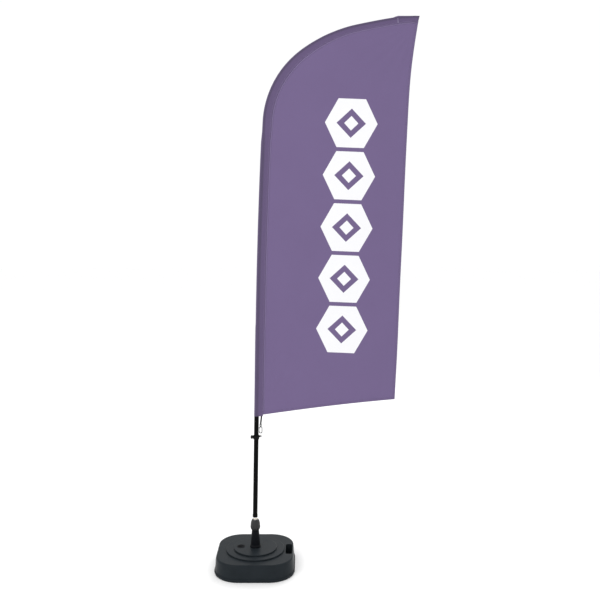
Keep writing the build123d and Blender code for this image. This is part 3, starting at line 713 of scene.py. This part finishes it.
def bottom_line(inset, count=70, start=0.02, end=1.0):
    """Flat points along the bottom edge, a little way up from it."""
    first = seam_distances()[0]
    points = []
    for index in range(count + 1):
        share = start + (end - start) * index / count
        edge = row_point(first, share)
        above = row_point(first + 0.02, share)
        points.append(edge + (above - edge).normalized() * inset)
    return points


def hem_strip(name, line, width, material, lift=HEM_LIFT, overhang=0.0006):
    """A folded hem: a thin closed strip that wraps the cloth's edge."""
    insets = (width, width * 0.5, 0.0015, -overhang)
    section = [(inset, -lift if inset > 0 else -lift * 0.6) for inset in insets]
    section += [(inset, lift if inset > 0 else lift * 0.6) for inset in reversed(insets)]
    count = min(len(line(inset)) for inset, _ in section)
    paths = []
    for inset, height in section:
        paths.append(on_cloth(line(inset)[:count], height))
    return swept_strip(paths, name, "mast", [material])


def make_hems():
    """The turned hems along the free edge and the bottom, and their stitching."""
    hems = [
        hem_strip("trailing_hem", trailing_line, HEM_WIDTH, MATERIALS["hem"]),
        hem_strip("bottom_hem", bottom_line, HEM_WIDTH, MATERIALS["hem"], lift=HEM_LIFT * 1.15),
    ]
    lines = []
    for line, lift in ((trailing_line, HEM_LIFT), (bottom_line, HEM_LIFT * 1.15)):
        for side in (-1, 1):
            for inset in (HEM_WIDTH * 0.82, HEM_WIDTH * 0.25):
                lines.append((on_cloth(line(inset), lift * side), (0, side, 0)))
    hems.append(stitches(lines, "hem_stitches", "mast", MATERIALS["thread"]))
    return hems


def make_seam_tape():
    """The lighter tape that is sewn over the seam beside the sleeve."""
    distances = seam_distances(0.02)[1:-1]
    pieces = []
    lines = []
    for side in (-1, 1):
        paths = []
        profile = (
            (0.0, 0.0003), (0.0, 0.0009), (TAPE_WIDTH / 2, 0.0011),
            (TAPE_WIDTH, 0.0009), (TAPE_WIDTH, 0.0003),
        )
        for offset, lift in profile:
            flat = [seam_at(d, inset=-offset - 0.0004) for d in distances]
            paths.append(on_cloth(flat, lift * side))
        name = "seam_tape_front" if side < 0 else "seam_tape_back"
        pieces.append(swept_strip(paths, name, "mast", [MATERIALS["tape"]]))
        flat = [seam_at(d, inset=-TAPE_WIDTH * 0.55) for d in distances]
        lines.append((on_cloth(flat, 0.0011 * side), (0, side, 0)))
    pieces.append(stitches(lines, "tape_stitches", "mast", MATERIALS["thread"]))
    return pieces


# ------------------------------------------------------------ pole sleeve
def leading_lift(distance, radius):
    """How far the sleeve's outer edge moves out or in, where the tip pocket's top is cut level."""
    point, _, across = mast_at(distance)
    outer = point - across * radius
    share = float(smooth(POCKET_START - 0.012, POCKET_START, distance))
    return share * (POCKET_TOP - outer.z) / max(0.2, -across.z)


def sleeve_ring(distance):
    """One ring of the sleeve: its points and how squarely each lies over the pole, which sets the painted
    pole shade.
    """
    point, along, across = mast_at(distance)
    radius = between(SLEEVE_RADII, distance)
    width = seam_offset(distance)
    tail = float(smooth(SLEEVE_END - 0.012, SLEEVE_END, distance))
    depth = 1.0 - 0.9 * tail
    lift = leading_lift(distance, radius)
    touch = math.acos(min(0.98, radius / width))
    ring = []
    for index in range(SLEEVE_COLUMNS):
        share = index / (SLEEVE_COLUMNS - 1)
        if share < 0.3:
            part = share / 0.3
            a = width + (radius * math.cos(touch) - width) * part
            y = -(SLEEVE_HALF_SEAM + (radius * math.sin(touch) - SLEEVE_HALF_SEAM) * part)
            y += 0.0012 * math.sin(math.pi * part)
        elif share > 0.7:
            part = (1 - share) / 0.3
            a = width + (radius * math.cos(touch) - width) * part
            y = SLEEVE_HALF_SEAM + (radius * math.sin(touch) - SLEEVE_HALF_SEAM) * part
            y -= 0.0012 * math.sin(math.pi * part)
        else:
            angle = touch + (share - 0.3) / 0.4 * (math.tau - 2 * touch)
            a = radius * math.cos(angle)
            y = -radius * math.sin(angle)
            if a < 0:
                a -= lift * (-a / radius)
        ring.append((a, y * depth))
    slant = POCKET_END_SLANT * tail
    out = []
    for index, (a, y) in enumerate(ring):
        crease = 0.0007 * math.sin(38 * distance + 1.7 * math.sin(9 * distance))
        crease *= math.sin(math.pi * index / (SLEEVE_COLUMNS - 1))
        y += crease * (1 if y > 0 else -1) * (1 - tail)
        shift = along * slant * (0.5 - (a + radius) / (width + radius))
        spot = point + across * a + Vector((0, y, 0)) + shift
        # The second value weighs the painted pole shade: full over the pole's middle, none beyond its sides.
        out.append((spot, max(0.0, 1 - (a / (radius * 0.92)) ** 2)))
    return out


def make_sleeve():
    """The doubled sleeve along the pole, with painted shade where the pole would show faintly through it."""
    count = int((SLEEVE_END - SLEEVE_START) / SLEEVE_STEP)
    distances = [SLEEVE_START + (SLEEVE_END - SLEEVE_START) * i / count for i in range(count + 1)]
    rings = [sleeve_ring(distance) for distance in distances]
    verts = [spot for ring in rings for spot, _ in ring]
    painted_pole_shade = [shade_weight for ring in rings for _, shade_weight in ring]
    faces = grid_faces(len(rings), SLEEVE_COLUMNS)
    piece = new_piece("sleeve_cloth", verts, faces, "mast", [MATERIALS["sleeve"]])
    # Each point's weight of painted pole shade, read by the sleeve's material.
    attribute = piece.data.attributes.new("painted_pole_shade", "FLOAT", "POINT")
    attribute.data.foreach_set("value", painted_pole_shade)
    area = sum(polygon.area for polygon in piece.data.polygons)
    thicken(piece, SLEEVE_SKIN, 0.0)
    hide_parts("pole_sleeve")
    return piece, area


def sleeve_line(index, step=0.02, start=SLEEVE_START + 0.004, end=SLEEVE_END - 0.004):
    """Points along the sleeve's surface at one place round its section."""
    count = int((end - start) / step)
    return [sleeve_ring(start + (end - start) * i / count)[index][0] for i in range(count + 1)]


def make_sleeve_stitches():
    """Two rows of stitches down each side of the seam, and the bar tack at the pocket."""
    rows = []
    for index in (1, 2):
        rows.append((sleeve_line(index), (0, -1, 0)))
        rows.append((sleeve_line(SLEEVE_COLUMNS - 1 - index), (0, 1, 0)))
    seam = stitches(rows, "sleeve_stitches", "mast", MATERIALS["thread"])
    tack = []
    for shift in range(6):
        place = POCKET_START + 0.0012 * shift
        for first, last, side in ((2, 12, -1), (37, 27, 1)):
            ring = sleeve_ring(place)
            proud = Vector((0, side * 0.0006, 0))
            tack.append(([ring[first][0] + proud, ring[last][0] + proud], (0, side, 0)))
    thread_used = MATERIALS["light_thread"]
    tack_piece = stitches(tack, "pocket_bar_tack", "mast", thread_used, radius=0.0007)
    return [seam, tack_piece]


# ------------------------------------------------------------ tension strap
def make_strap():
    """The flat strap between the sleeve and the snap hook."""
    low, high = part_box("tension_strap")
    centre_x = (low.x + high.x) / 2
    half = (high.x - low.x) / 2
    thick = (high.y - low.y) / 2
    section = (
        (-half, -thick * 0.5), (-half * 0.8, -thick), (half * 0.8, -thick), (half, -thick * 0.5),
        (half, thick * 0.5), (half * 0.8, thick), (-half * 0.8, thick), (-half, thick * 0.5),
    )
    top = high.z + STRAP_TUCK
    paths = []
    for x, y in section:
        path = []
        for index in range(STRAP_ROWS + 1):
            share = index / STRAP_ROWS
            z = low.z + (top - low.z) * share
            lean = STRAP_LEAN * share
            path.append(Vector((centre_x + lean + x, y + 0.0004 * math.sin(60 * (z - low.z)), z)))
        paths.append(path)
    piece = swept_strip(paths, "elastic_strap", None, [MATERIALS["webbing"]])
    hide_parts("tension_strap")
    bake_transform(piece)
    return piece


def make_loop_stitches():
    """The box of stitches that closes the strap's sewn end."""
    low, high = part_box("strap_loop")
    centre_x = (low.x + high.x) / 2
    half = (high.x - low.x) / 2 * 0.7
    lines = []
    for side in (-1, 1):
        y = side * 0.0009
        for height in (high.z - 0.0006, high.z - 0.0018):
            ends = [Vector((centre_x - half, y, height)), Vector((centre_x + half, y, height))]
            lines.append((ends, (0, side, 0)))
    return stitches(
        lines, "loop_stitches", "eye", MATERIALS["black_thread"],
        pitch=0.0013, length=0.0011, radius=0.0002
    )


# ------------------------------------------------------------ stage, lights and camera
def make_stage():
    """A plain pale floor under the object."""
    bpy.ops.mesh.primitive_circle_add(vertices=96, radius=40, fill_type="NGON", location=(0, 0, 0))
    floor = bpy.context.object
    floor.name = "studio_floor"
    material, _, shader = new_material("floor_white")
    shader.inputs["Base Color"].default_value = (FLOOR_WHITE, FLOOR_WHITE, FLOOR_WHITE, 1)
    shader.inputs["Roughness"].default_value = 0.9
    shader.inputs["Specular IOR Level"].default_value = 0.1
    floor.data.materials.append(material)


def add_area_light(name, location, target, size, power):
    """A soft square light that points at a target."""
    light = bpy.data.lights.new(name, "AREA")
    light.size = size
    light.energy = power
    lamp = bpy.data.objects.new(name, light)
    lamp.location = location
    lamp.rotation_euler = (Vector(target) - Vector(location)).to_track_quat("-Z", "Y").to_euler()
    bpy.context.scene.collection.objects.link(lamp)


def make_lights():
    """Even studio light with a soft key from the upper left."""
    world = bpy.data.worlds.new("studio")
    world.use_nodes = True
    background = world.node_tree.nodes["Background"]
    background.inputs["Color"].default_value = (1, 1, 1, 1)
    background.inputs["Strength"].default_value = WORLD_STRENGTH
    bpy.context.scene.world = world
    add_area_light("key", (-3.0, -4.0, 4.5), (0.2, 0, 1.2), 2.5, 90)
    add_area_light("back", (1.5, 4.0, 4.0), (0.2, 0, 1.0), 3.0, 60)


def make_view():
    """Show colours as they are, without a film curve."""
    bpy.context.scene.view_settings.view_transform = "Standard"


def make_camera():
    """The camera, in front of the flag and a little above the middle of its height."""
    camera = bpy.data.cameras.new("camera")
    camera.sensor_width = 36.0
    camera.lens = CAMERA_LENS
    holder = bpy.data.objects.new("camera", camera)
    holder.location = CAMERA_PLACE
    holder.rotation_euler = (math.radians(CAMERA_TILT), 0, 0)
    bpy.context.scene.collection.objects.link(holder)
    bpy.context.scene.camera = holder


# ------------------------------------------------------------ whole flag
def main():
    """Make every piece, dress the CAD nodes and set the stage."""
    dress_cad_nodes()
    cloth, cloth_area = make_flag_cloth()
    trims = make_hems() + make_seam_tape()
    sleeve, sleeve_area = make_sleeve()
    sleeve_trims = make_sleeve_stitches()
    make_strap()
    make_loop_stitches()
    make_stage()
    make_lights()
    make_camera()
    make_view()


main()
